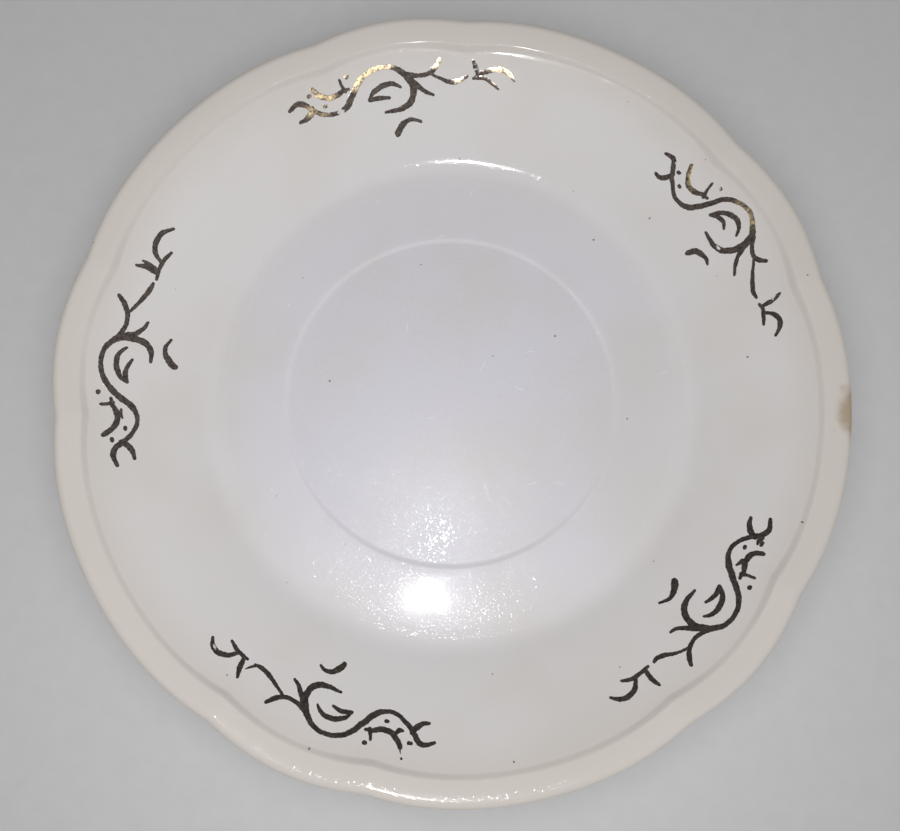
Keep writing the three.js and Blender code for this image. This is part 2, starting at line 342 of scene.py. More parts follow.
# %% Glaze: stain
STAIN_TURN = math.radians(346.1)
STAIN_RADIUS = 74.5
STAIN_HEIGHT = 22.0
STAIN_SIZE = Vector((2.5, 6.2, 3.0)) * MM
stain_place = MM * Vector(
    (STAIN_RADIUS * math.cos(STAIN_TURN), STAIN_RADIUS * math.sin(STAIN_TURN), STAIN_HEIGHT)
)
stain = add_node(
    tree,
    "ShaderNodeMapping",
    {"vector_type": "TEXTURE"},
    {"Vector": place, "Location": stain_place, "Rotation": (0, 0, STAIN_TURN), "Scale": STAIN_SIZE},
)
reached = add_node(tree, "ShaderNodeVectorMath", {"operation": "LENGTH"}, {0: stain.outputs[0]})
uneven = noise(tree, place, size=3, detail=1)
blurred = compute(tree, "ADD", reached.outputs["Value"], uneven)
stained = ramp(tree, blurred, 1.6, 0.9, high=0.75)
glaze_colour = blend(tree, stained, specked, colour("#a9916b"))
tree.links.new(glaze_colour, shader.inputs["Base Color"])
print("stain at", [round(x / MM, 1) for x in stain_place])

# %% [markdown]
# The sparkles show countless tiny pits in the glass, most likely from use: in the well, on the skirt,
# on the lip and along the moulded line. They could be modelled, but millions of points would be needed.
# So a fine noise becomes a bump of a hundredth of a millimetre: raised or sunk, it glints alike. Real
# pits are finer than 0.4 mm, and are drawn coarser here so that they show. The glass has a slow ripple
# of 3 mm too.

# %% Glaze: pits
PIT_SIZE = 0.42
PIT_DEPTH = 0.013
RIPPLE_SIZE = 3
RIPPLE_DEPTH = 0.008
pitted = ramp(tree, noise(tree, place, PIT_SIZE, detail=1), 0.52, 0.68)
handled = ramp(tree, from_edge, 3.2, 1.6, high=0.6)
chafed = ramp(tree, from_line, 0.9, 0.45, high=0.8)
rim_wear = compute(tree, "MAXIMUM", handled, chafed)
used = compute(tree, "MAXIMUM", scuffed, rim_wear)
pit_share = compute(tree, "MULTIPLY", pitted, used)
rippled = relief(tree, noise(tree, place, RIPPLE_SIZE, detail=2), RIPPLE_DEPTH)
pitted_skin = relief(tree, pit_share, PIT_DEPTH, Normal=rippled)
tree.links.new(pitted_skin, shader.inputs["Coat Normal"])
print("pits of %.2f mm and %.3f mm" % (PIT_SIZE, PIT_DEPTH))

# %% [markdown]
# The well has only a wide soft gleam and sparkles, as if cups had ground it matt, so it keeps the sharp
# coat only in its pits. Outside its ring the coat is clean, and the pits break the lamp's image up. The
# inner half of the bend at the foot of the wall shows no glint, so it is made dull, though the cause
# isn't known. A second material could do this, but its edge would show: the coat's weight follows the
# distance from the axis instead.

# %% Glaze: gleam
DULL_MIDDLE = 48.2
CLEAN_COAT = 0.5
beyond_well = ramp(tree, from_axis, 34.4, 36)
from_corner = compute(tree, "ABSOLUTE", compute(tree, "SUBTRACT", from_axis, DULL_MIDDLE))
clean = ramp(tree, from_corner, 1.6, 2.4, high=CLEAN_COAT)
wiped = compute(tree, "MULTIPLY", beyond_well, clean)
gloss = compute(tree, "MAXIMUM", wiped, pit_share)
tree.links.new(gloss, shader.inputs["Coat Weight"])
matt = ramp(tree, from_axis, 44, 52, low=0.4, high=0.6)
tree.links.new(matt, shader.inputs["Roughness"])
shader.inputs["Specular IOR Level"].default_value = 0.46
shader.inputs["Coat Roughness"].default_value = 0.075
print("glaze nodes:", len(tree.nodes))

# %% [markdown]
# ## Bare clay
# A saucer stands on its foot in the kiln, and glaze there would fuse it to the shelf. So the
# standing face is wiped clean: fired body without glass, matt, cream and a little gritty.

# %% Bare clay
GRIT_SIZE = 0.5
GRIT_DEPTH = 0.03
bare_clay, tree, shader, place = start_material("unglazed_porcelain")
grit = noise(tree, place, GRIT_SIZE, detail=3)
clay = blend(tree, grit, colour("#c9bda9"), colour("#e6dccb"))
tree.links.new(clay, shader.inputs["Base Color"])
tree.links.new(relief(tree, grit, GRIT_DEPTH), shader.inputs["Normal"])
shader.inputs["Roughness"].default_value = 0.85
print("bare clay: grit of %.1f mm" % GRIT_SIZE)

# %% [markdown]
# ## The gold
# Liquid gold is brushed on the glaze and fired at a low heat. It leaves a film far thinner than a hair.
# It is a metal, and its colour is painted a dark grey-brown: a painted reflection of the dim room that
# smooth gold mirrors. It shows the lamp only at some angles. At some spots the film is rough, so it
# catches the lamp from many sides, and there its colour is painted a lighter gold as a painted glint.
# The mesh says where these spots are, and where the gold has worn through to white. A grain breaks up
# both, and is drawn coarser than the real one so that it shows.

# %% Gold
GRAIN_SIZE = 0.5
GRAIN_DEPTH = 0.02
gold, tree, shader, place = start_material("worn_gold_with_painted_light")
worn = attribute(tree, "worn")
rough_glint = attribute(tree, "rough_glint")
grain = noise(tree, place, GRAIN_SIZE, detail=3)
spread = ramp(tree, grain, 0.35, 0.65)
# Painted reflection: the film's colour is a dark grey-brown, standing in for the dim room that the gold
# mirrors.
film_painted_dark = blend(tree, spread, colour("#575050"), colour("#7f736a"))
painted_glint_share = compute(tree, "MULTIPLY", rough_glint, spread)
# Painted glint: at the rough spots the film's colour turns a lighter gold.
film_with_painted_glints = blend(tree, painted_glint_share, film_painted_dark, colour("#bba67c"))
through = ramp(tree, compute(tree, "ADD", worn, grain), 0.8, 0.95)
gold_colour = blend(tree, through, film_with_painted_glints, colour("#e6e0da"))
metal = ramp(tree, through, 0, 1, low=0.94, high=0.0, easing="LINEAR")
smooth_film = ramp(tree, spread, 0, 1, low=0.04, high=0.06, easing="LINEAR")
rough = ramp(tree, rough_glint, 0, 1, low=smooth_film, high=0.3, easing="LINEAR")
coarse = ramp(tree, rough_glint, 0, 1, low=0.15, high=1.0, easing="LINEAR")
tree.links.new(gold_colour, shader.inputs["Base Color"])
tree.links.new(metal, shader.inputs["Metallic"])
tree.links.new(rough, shader.inputs["Roughness"])
tree.links.new(relief(tree, grain, GRAIN_DEPTH, Strength=coarse), shader.inputs["Normal"])
print("gold nodes:", len(tree.nodes))

# %% [markdown]
# ## The outline of the rim
# The rim has a short lobe over each of the five scrolls and a long lobe between two of them. Where
# two lobes meet, the glaze fills the notch. A curve could be drawn through points, but one formula
# gives every point of the rim, and the border inside it can follow the same formula.

# %% Rim outline
RIM_RADIUS = 75.0
RIM_HEIGHT = 22.6
MOTIFS = 5
PITCH = 2 * np.pi / MOTIFS
SHORT_HALF = np.radians(12)
LONG_HALF = PITCH / 2 - SHORT_HALF
SHORT_POWER = 1.8
LONG_POWER = 3.3
NOTCH_DEPTH = 1.1
NOTCH_SOFTNESS = 0.15
# How far each short lobe has drifted round the rim in the mould
LOBE_DRIFT = np.radians([-0.3, 0.2, 2.0, 0.9, 0.6])


def motif_angle(index):
    """Angle of a scroll from +X: the first lies on +Y, the others follow counter-clockwise."""
    return np.pi / 2 + index * PITCH


def soft_max(first, second, softness):
    """The larger of two values, with a hyperbola of this height rounding the corner between them."""
    return (first + second + np.hypot(first - second, softness)) / 2


def from_motif(angle):
    """Angle to the middle of the nearest short lobe, without its sign."""
    turns = (angle - motif_angle(0)) / PITCH
    nearest = np.round(turns)
    return np.abs((turns - nearest) * PITCH - LOBE_DRIFT[nearest.astype(int) % MOTIFS])


def edge_radius(angle):
    """The outer one of two lobes. Each falls from its crest by the notch depth times a power of the
    share of its half angle, with a higher power for the flatter long lobe."""
    away = from_motif(angle)
    short = RIM_RADIUS - NOTCH_DEPTH * (away / SHORT_HALF) ** SHORT_POWER
    long = RIM_RADIUS - NOTCH_DEPTH * (np.abs(PITCH / 2 - away) / LONG_HALF) ** LONG_POWER
    return soft_max(short, long, NOTCH_SOFTNESS)


print("radius in a notch: %.2f mm" % edge_radius(motif_angle(0) + SHORT_HALF))

# %% [markdown]
# ## The border
# The border keeps a fixed distance to the lobed edge, so its height depends only on the inset, the
# distance from the edge. A straight slope would mirror the lamp all at once. The real border rolls over
# towards the lip, so its slope grows inwards.

# %% Height of the border
LIP_RADIUS = 1.25
BORDER_SLOPE = np.radians(18.5)
# How much the slope grows with each millimetre of inset
BORDER_ROLL = 0.048
BORDER_WIDTH = 4.6
LIP_INSET = LIP_RADIUS * (1 + np.sin(BORDER_SLOPE))


def border_height(inset):
    """A parabola that starts under the lip's rounding and falls inwards, steeper by the roll each mm."""
    start = RIM_HEIGHT - LIP_RADIUS * (1 - np.cos(BORDER_SLOPE))
    past_lip = inset - LIP_INSET
    return start - past_lip * np.tan(BORDER_SLOPE) - BORDER_ROLL / 2 * past_lip**2


print("the border falls by %.2f mm" % (RIM_HEIGHT - border_height(BORDER_WIDTH)))

# %% [markdown]
# ## The dish inside the border
# From the axis outwards come the flat sunk well, a small step, a low cone that is the skirt, and a
# steeper cone that is the wall, hollowed by 0.2 mm. The bend between skirt and wall could be a bevel,
# but a bevel breaks the light at both its edges. A parabola that touches both cones keeps it running.

# %% Height of the dish
FLOOR_HEIGHT = 5.7
WELL_RADIUS = 33.4
SKIRT_RADIUS = 34.9
# The skirt's cone stands this high above the floor at this radius
STEP_HEIGHT = 0.26
STEP_RADIUS = 34.7
SKIRT_RISE = np.tan(np.radians(4.6))
CORNER_RADIUS = 50.0
CORNER_HEIGHT = FLOOR_HEIGHT + STEP_HEIGHT + (CORNER_RADIUS - STEP_RADIUS) * SKIRT_RISE
# The wall ends at the moulded line, this far from the edge and this far below the border
LINE_INSET = 6.3
LINE_RISE = 1.35
WALL_TOP = border_height(BORDER_WIDTH) - LINE_RISE
WALL_RISE = (WALL_TOP - CORNER_HEIGHT) / (RIM_RADIUS - LINE_INSET - CORNER_RADIUS)
WALL_HOLLOW = 0.2
# How far the bend reaches from the corner along the skirt and along the wall
SKIRT_REACH = 2.4
WALL_REACH = 3
BEND_START = CORNER_RADIUS - SKIRT_REACH / np.hypot(1, SKIRT_RISE)
BEND_END = CORNER_RADIUS + WALL_REACH / np.hypot(1, WALL_RISE)


def smooth_step(value, start, end):
    """0 before the start, 1 past the end, and a cubic ease between them."""
    share = np.clip((value - start) / (end - start), 0, 1)
    return share * share * (3 - 2 * share)


def wall_height(radius):
    """The skirt's cone, and the wall's cone from the corner on. Between them a parabola that touches
    both: its slope changes evenly along its length, so its radius is quadratic in the share t of the
    way. A second parabola hollows the wall, and a smooth step leads down to the floor of the well."""
    curve = BEND_START - 2 * CORNER_RADIUS + BEND_END
    start = CORNER_RADIUS - BEND_START
    past = np.clip(radius, BEND_START, BEND_END) - BEND_START
    t = past / (start + np.sqrt(start**2 + curve * past))
    bend = (BEND_END - CORNER_RADIUS) * WALL_RISE * t**2 - start * SKIRT_RISE * (1 - t) ** 2
    below = np.minimum(radius - BEND_START, 0) * SKIRT_RISE
    above = np.maximum(radius - BEND_END, 0) * WALL_RISE
    up_wall = np.clip((radius - BEND_END) / (RIM_RADIUS - LINE_INSET - BEND_END), 0, 1)
    dish = CORNER_HEIGHT + bend + below + above - WALL_HOLLOW * 4 * up_wall * (1 - up_wall)
    return FLOOR_HEIGHT + (dish - FLOOR_HEIGHT) * smooth_step(radius, WELL_RADIUS, SKIRT_RADIUS)


print("wall slope: %.1f degrees" % np.degrees(np.arctan(WALL_RISE)))

# %% [markdown]
# ## The upper face
# The step between wall and border is the moulded line. A spun profile with a bent edge would lose the
# lobes, so the whole face is one formula of radius and angle. Slow waves of one or two hundredths of a
# millimetre, as hand-finished ware has, break the glints up.

# %% Waves and moulded line
# Each wave: height, crests round the axis, millimetres outwards for each radian, phase
WAVES = [(0.012, 11, 4.1, 0), (0.006, 23, -2.7, 1.3), (0.008, 5, 2.9, 0.4)]
# Radii between which the waves grow, and between which they die away
WAVES_GROW = (8, 30)
WAVES_FADE = (64, 70)
# Insets between which the moulded line steps up
LINE_TOP = BORDER_WIDTH + 0.1
LINE_FOOT = LINE_INSET - 0.7


def hand_waves(radius, angle):
    """Three crossing sine waves round the axis and outwards, faded out in the well and at the border."""
    waves = sum(
        height * np.sin(crests * angle + radius / outwards + phase)
        for height, crests, outwards, phase in WAVES
    )
    return waves * smooth_step(radius, *WAVES_GROW) * (1 - smooth_step(radius, *WAVES_FADE))


def dish_height(radius, angle):
    """The wall and its waves inside the moulded line, the border outside it, eased into each other."""
    inset = edge_radius(angle) - radius
    raised = 1 - smooth_step(inset, LINE_TOP, LINE_FOOT)
    inside = wall_height(radius) + hand_waves(radius, angle)
    return inside + (border_height(inset) - inside) * raised


print("height on the wall under a scroll: %.2f mm" % dish_height(60, motif_angle(0)))

# %% [markdown]
# ## Closed skins
# The saucer and every brush stroke have the same build: rings of points, one after the other, with a
# pole at each end. So one function turns rings into a closed skin of quads with a fan at each pole,
# and one makes a mesh object of skins. Its place is in its mesh, and its object stays at the origin.


# %% Skins and pieces
def closed_skin(rings, first, last):
    """Points and faces of rings (ring, place round it, xyz) joined in order, with a pole at each end."""
    count, around = rings.shape[:2]
    points = np.concatenate([rings.reshape(-1, 3), [first, last]])
    here = np.arange(count * around).reshape(count, around)
    ahead = np.roll(here, -1, axis=1)
    quads = np.stack([here[:-1], here[1:], ahead[1:], ahead[:-1]], axis=-1).reshape(-1, 4)
    poles = np.full(around, count * around)
    first_fan = np.stack([poles, here[0], ahead[0]], axis=-1)
    last_fan = np.stack([poles + 1, ahead[-1], here[-1]], axis=-1)
    return points, quads, np.concatenate([first_fan, last_fan])


def make_piece(name, skins, material, values, node):
    """One smooth mesh of closed skins in millimetres, with values at its points, for a CAD node."""
    faces = []
    start = 0
    for points, quads, fans in skins:
        faces += (quads + start).tolist() + (fans + start).tolist()
        start += len(points)
    mesh = bpy.data.meshes.new(name)
    mesh.from_pydata((np.concatenate([skin[0] for skin in skins]) * MM).tolist(), [], faces)
    mesh.polygons.foreach_set("use_smooth", np.ones(len(faces), dtype=bool))
    for label, numbers in values.items():
        mesh.attributes.new(label, "FLOAT", "POINT").data.foreach_set("value", numbers)
    mesh.materials.append(material)
    piece = bpy.data.objects.new(name, mesh)
    scene.collection.objects.link(piece)
    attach(piece, "root")
    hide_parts(node)
    return piece


def volume(skin):
    """Signed volume in cubic millimetres: a sixth of the triple product of each face's corners."""
    points, quads, fans = skin
    faces = np.concatenate([quads[:, [0, 1, 2]], quads[:, [0, 2, 3]], fans])
    a, b, c = points[faces[:, 0]], points[faces[:, 1]], points[faces[:, 2]]
    return np.einsum("ij,ij->", a, np.cross(b, c)) / 6


block = np.array([[(1, 0, z), (0, 1, z), (-1, 0, z), (0, -1, z)] for z in (1, 0)])
block_skin = closed_skin(block, (0, 0, 1), (0, 0, 0))
print("volume of a test block of 2 cubic mm: %.2f" % volume(block_skin))

# %% [markdown]
# ## The saucer's body
# The section runs from the well over the lip and back under the foot, and is carried round the axis. A
# fine even grid would do, but most of its points would be wasted. So the angles crowd together at the
# ten notches, where the outline turns quickly, and the rings where the section bends.

# %% Angles and upper stations
ANGLE_COUNT = 660
NOTCH_CROWD = 4
NOTCH_SPAN = np.radians(1.3)
turn = np.linspace(0, 2 * np.pi, 40001)
crowding = 1 + NOTCH_CROWD * np.exp(-(((from_motif(turn) - SHORT_HALF) / NOTCH_SPAN) ** 2))
share = np.concatenate([[0], np.cumsum(crowding[1:])])
angles = np.interp(np.arange(ANGLE_COUNT) / ANGLE_COUNT * share[-1], share, turn)
edge = edge_radius(angles)

inner = np.concatenate(
    [
        np.linspace(3, WELL_RADIUS, 11),
        np.linspace(WELL_RADIUS, SKIRT_RADIUS, 10)[1:],
        np.linspace(SKIRT_RADIUS, BEND_START, 10)[1:],
        np.linspace(BEND_START, BEND_END, 13)[1:],
    ]
)
wall_share = np.linspace(0, 1, 12)[1:-1, None]
insets = np.concatenate(
    [np.linspace(LINE_INSET, BORDER_WIDTH, 13), np.linspace(BORDER_WIDTH, LIP_INSET, 7)[1:]]
)
upper_radius = np.concatenate(
    [
        np.repeat(inner[:, None], ANGLE_COUNT, axis=1),
        BEND_END + (edge - LINE_INSET - BEND_END) * wall_share,
        edge - insets[:, None],
    ]
)
upper_height = dish_height(upper_radius, angles)
print("upper stations:", len(upper_radius), "angles:", ANGLE_COUNT)

# %% [markdown]
# The lip is an arc that rolls from the border to the back. The back is one Bezier curve, because a
# pressed back has no edges. Its lobes fade out towards the round foot.

# %% Lip and back
LIP_STEPS = 23
BACK_STEPS = 18
FOOT_CORNER = np.array([41.1, 3.0])
# The back leaves the foot at a low slope, towards a corner of its curve this far out
BACK_RUN = 14
BACK_SLOPE = np.radians(4)
BACK_CORNER = FOOT_CORNER + [BACK_RUN, BACK_RUN * np.tan(BACK_SLOPE)]
BACK_END = FOOT_CORNER + [0.7, 0.1]

lip_centre = np.array([RIM_RADIUS, RIM_HEIGHT]) - LIP_RADIUS
to_lip = lip_centre - BACK_CORNER
under_angle = np.arctan2(to_lip[1], to_lip[0]) - np.arcsin(LIP_RADIUS / np.hypot(*to_lip))
lip_turn = np.linspace(np.pi / 2 + BORDER_SLOPE, under_angle - np.pi / 2, LIP_STEPS + 1)[1:, None]
lip_radius = edge - LIP_RADIUS + LIP_RADIUS * np.cos(lip_turn)
lip_height = RIM_HEIGHT - LIP_RADIUS + LIP_RADIUS * np.sin(lip_turn) + 0 * edge


def bezier(first, corner, last, steps):
    """Points of a quadratic Bezier curve after its first point."""
    t = np.linspace(0, 1, steps + 1)[1:, None]
    return (1 - t) ** 2 * first + 2 * t * (1 - t) * corner + t**2 * last


lip_end = lip_centre + LIP_RADIUS * np.array([np.sin(under_angle), -np.cos(under_angle)])
back = bezier(lip_end, BACK_CORNER, BACK_END, BACK_STEPS)
lobe_fade = (1 - np.linspace(0, 1, BACK_STEPS + 1)[1:, None]) ** 2
back_radius = back[:, :1] + (edge - RIM_RADIUS) * lobe_fade
back_height = back[:, 1:] + 0 * edge
print("lip and back stations:", len(lip_radius) + len(back))

# %% [markdown]
# The foot ring is a low wall with a flat standing face and a hollow base inside it. Sharp corners
# would look cut, and a Bevel modifier would round them all alike. So each edge of the section is a small
# Bezier curve of its own, and light runs round it.

# %% Foot and base
STAND_OUTER = 39.2
STAND_INNER = 36.8
RECESS = 2.5
# Corners of the foot's section, each as radius and height
FOOT_SIDE = FOOT_CORNER - [0.3, 0.7]
OUTER_EDGE = np.array([39.75, 0.6])
INNER_EDGE = np.array([36.25, 0.6])
INNER_SIDE = np.array([35.2, 1.9])
foot = np.concatenate(
    [
        bezier(back[-1], FOOT_CORNER, FOOT_SIDE, 4),
        bezier(FOOT_SIDE, np.array([40.3, 1.5]), OUTER_EDGE, 3),
        bezier(OUTER_EDGE, np.array([39.6, 0]), np.array([STAND_OUTER, 0]), 5),
        np.array([(38.6, 0), (38.0, 0), (37.4, 0), (STAND_INNER, 0)]),
        bezier(np.array([STAND_INNER, 0]), np.array([36.4, 0]), INNER_EDGE, 5),
        bezier(INNER_EDGE, np.array([35.8, 1.3]), INNER_SIDE, 3),
        bezier(INNER_SIDE, np.array([34.9, RECESS]), np.array([34, RECESS]), 5),
        np.array([(33, RECESS), (28, RECESS), (20, RECESS), (10, RECESS)]),
    ]
)
radius = np.concatenate([upper_radius, lip_radius, back_radius, foot[:, :1] + 0 * edge])
height = np.concatenate([upper_height, lip_height, back_height, foot[:, 1:] + 0 * edge])
rings = np.stack([radius * np.cos(angles), radius * np.sin(angles), height], axis=-1)
body_skin = closed_skin(rings, (0, 0, FLOOR_HEIGHT), (0, 0, RECESS))
print("foot stations:", len(foot), "rings in all:", len(rings))

# %% [markdown]
# The glaze reads the two distances from the mesh, so each point gets them as it is made. The border's
# tint and line belong to the upper side only: the back counts as farther from the edge than it is.

# %% Body
BACK_SHIFT = 12
flat_radius = np.append(radius.ravel(), [0, 0]).astype(np.float32)
inset = edge - radius
inset[-len(back) - len(foot) :] += BACK_SHIFT
flat_inset = np.append(inset.ravel(), [RIM_RADIUS, RIM_RADIUS]).astype(np.float32)
body = make_piece(
    "porcelain_saucer",
    [body_skin],
    glaze,
    {"from_axis": flat_radius, "from_edge": flat_inset},
    "saucer_body",
)
print("body: %.1f cubic cm, %d faces" % (volume(body_skin) / 1000, len(body.data.polygons)))

# %% [markdown]
# The glaze was wiped off the standing face before firing. A separate ring could lie there, but the clay
# is the same piece, so its faces only take the second material.

# %% Bare standing face
WIPED_HEIGHT = 0.25
WIPED_INNER = 36
WIPED_OUTER = 40
body.data.materials.append(bare_clay)
under_foot = (foot[:, 0] > WIPED_INNER) & (foot[:, 0] < WIPED_OUTER)
standing = np.zeros(len(radius) - 1, dtype=bool)
standing[-len(foot) :] = (foot[:, 1] < WIPED_HEIGHT) & under_foot
slots = np.zeros(len(body.data.polygons), dtype=np.int32)
slots[: len(standing) * ANGLE_COUNT] = np.repeat(standing, ANGLE_COUNT)
body.data.polygons.foreach_set("material_index", slots)
print("bare faces on the foot:", int(slots.sum()))

# %% [markdown]
# ## Brush strokes
# A brush stroke is a path with a width. Blender's curve objects could do it with a bevel, but their
# cross-section is round. Here a flat, slightly domed section follows the path and closes in a round
# tip at each end. The path is a smooth curve through a few brush points, each with its width.

# %% Path of the brush
BRUSH_STEP = 0.24


def brush_path(points):
    """A cubic curve through points (x, y, width): its slope at each point follows its neighbours, and
    the points are spaced by the square root of their distance. Then resampled to even lengths."""
    knots = np.append(0, np.cumsum(np.linalg.norm(np.diff(points, axis=0), axis=1) ** 0.5))
    slope = np.gradient(points, knots, axis=0)
    t = np.linspace(0, knots[-1], 30 * len(points))
    i = np.clip(np.searchsorted(knots, t, side="right") - 1, 0, len(knots) - 2)
    gap = (knots[i + 1] - knots[i])[:, None]
    s = (t - knots[i])[:, None] / gap
    path = (
        (2 * s**3 - 3 * s**2 + 1) * points[i]
        + (s**3 - 2 * s**2 + s) * gap * slope[i]
        + (3 * s**2 - 2 * s**3) * points[i + 1]
        + (s**3 - s**2) * gap * slope[i + 1]
    )
    length = np.append(0, np.cumsum(np.linalg.norm(np.diff(path[:, :2], axis=0), axis=1)))
    even = np.linspace(0, length[-1], max(3, int(np.ceil(length[-1] / BRUSH_STEP)) + 1))
    return np.stack([np.interp(even, length, column) for column in path.T], axis=-1)


print("points on a 5 mm stroke:", len(brush_path(np.array([(0, 0, 0.5), (5, 0, 0.5)]))))

# %% [markdown]
# A painter's edge is never a clean line. Sine waves of a few wavelengths widen and narrow each side
# of the stroke, and each stroke has phases of its own from a seeded generator. A loaded brush paints a
# quarter wider than its drawn width. The film is domed by about a hundredth of a millimetre, and its
# lower side sinks a little into the glaze, so no gap shows.

# %% Film of gold along a path
SECTION = 12
BRUSH_LOAD = 1.28
FILM_RISE = 0.02
FILM_SINK = 0.02
TIP_TURNS = np.radians([72, 48, 24])
TIP_POLE = 0.2
hand = np.random.default_rng(11)


def gold_film(points):
    """Flat rings (x, y, height) along a brush path. Round the section: across is minus the cosine,
    height is a parabola above the glaze and a shallow bowl below it. Both tips close on a circle."""
    path = brush_path(points)
    centre, half = path[:, :2], BRUSH_LOAD * path[:, 2] / 2
    forward = np.gradient(centre, axis=0)
    forward /= np.linalg.norm(forward, axis=1)[:, None]
    tips = len(TIP_TURNS)
    first_tip = centre[0] - forward[0] * half[0] * np.sin(TIP_TURNS)[:, None]
    last_tip = centre[-1] + forward[-1] * half[-1] * np.sin(TIP_TURNS[::-1])[:, None]
    centre = np.concatenate([first_tip, centre, last_tip])
    forward = np.concatenate([np.tile(forward[0], (tips, 1)), forward, np.tile(forward[-1], (tips, 1))])
    half = np.concatenate([half[0] * np.cos(TIP_TURNS), half, half[-1] * np.cos(TIP_TURNS[::-1])])
    side = np.stack([-forward[:, 1], forward[:, 0]], axis=-1)

    turn = np.arange(SECTION) / SECTION * 2 * np.pi
    across, rise = -np.cos(turn), np.sin(turn)
    travel = np.arange(len(centre))[:, None] * BRUSH_STEP
    phase = hand.uniform(0, 2 * np.pi, 4)
    ragged = 0.07 * np.sin(travel * 2.9 + phase[0] + across * phase[1])
    ragged = ragged + 0.06 * np.sin(travel * 7.3 + phase[2] + across * phase[3])
    reach = half[:, None] * across * (1 + ragged)
    flat = centre[:, None] + side[:, None] * reach[..., None]
    lift = np.where(rise > 0, FILM_RISE * half[:, None] * rise**2, FILM_SINK * rise)
    rings = np.concatenate([flat, lift[..., None]], axis=-1)
    first = np.append(centre[0] - forward[0] * half[0] * TIP_POLE, 0.0)
    last = np.append(centre[-1] + forward[-1] * half[-1] * TIP_POLE, 0.0)
    return rings, first, last


print("points round a film:", SECTION)

# %% [markdown]
# ## Laying a stroke on the dish
# The motif is drawn flat, seen with the rim upwards, and then laid on the wall: lengths along the rim
# become angles, heights become radii, and the film stands off along the surface's own normal.
# Each motif was laid by hand, so each has its own shift, lean and stretch.

# %% Drape
MOTIF_RADIUS = 66.0
# Small steps outwards, in millimetres, and round the axis, in radians, that give the normal
NORMAL_STEP = 0.05
NORMAL_TURN = NORMAL_STEP / 60
# Shift along the rim and outwards, lean in degrees, and stretch in length and height
LAYINGS = [
    (-2.35, 1.6, -0.5, 1.02, 0.95),
    (-3.1, 1.25, 0.55, 1.04, 0.96),
    (-6.35, 0.85, 0.2, 1, 0.91),
    (-5.15, 1.3, -0.05, 0.99, 0.94),
    (-4.15, 1.45, -0.55, 0.95, 0.91),
]


def on_dish(radius, angle):
    """The point of the upper face at a radius and an angle."""
    height = dish_height(radius, angle)
    return np.stack([radius * np.cos(angle), radius * np.sin(angle), height], axis=-1)


def drape(flat, index):
    """Lay flat points (x, y, height) on the dish: turned by the lean, wrapped round the motif circle,
    and lifted along the normal, which is the cross product of the steps outwards and round."""
    along, out, lean, long, tall = LAYINGS[index]
    cos, sin = np.cos(np.radians(lean)), np.sin(np.radians(lean))
    x, y = flat[..., 0] * long, flat[..., 1] * tall
    angle = motif_angle(index) - (along + cos * x + sin * y) / MOTIF_RADIUS
    radius = MOTIF_RADIUS + out - sin * x + cos * y
    outward = on_dish(radius + NORMAL_STEP, angle) - on_dish(radius - NORMAL_STEP, angle)
    round_axis = on_dish(radius, angle + NORMAL_TURN) - on_dish(radius, angle - NORMAL_TURN)
    normal = np.cross(outward, round_axis)
    normal /= np.linalg.norm(normal, axis=-1)[..., None]
    return on_dish(radius, angle) + normal * flat[..., 2:]


print("the first motif's crest lies at", np.round(drape(np.zeros((1, 3)), 0)[0], 2).tolist())

# %% [markdown]
# ## The motif
# Each motif is an ordinary rococo scroll: a long S with a forked end, a hook, a stem with a spur and a
# thorn, a leaf inside the hook, a comma under it, a bracket in the valley, a tail, and three dots. The
# paths below are the brush's points, as [along the rim, towards the rim, width].

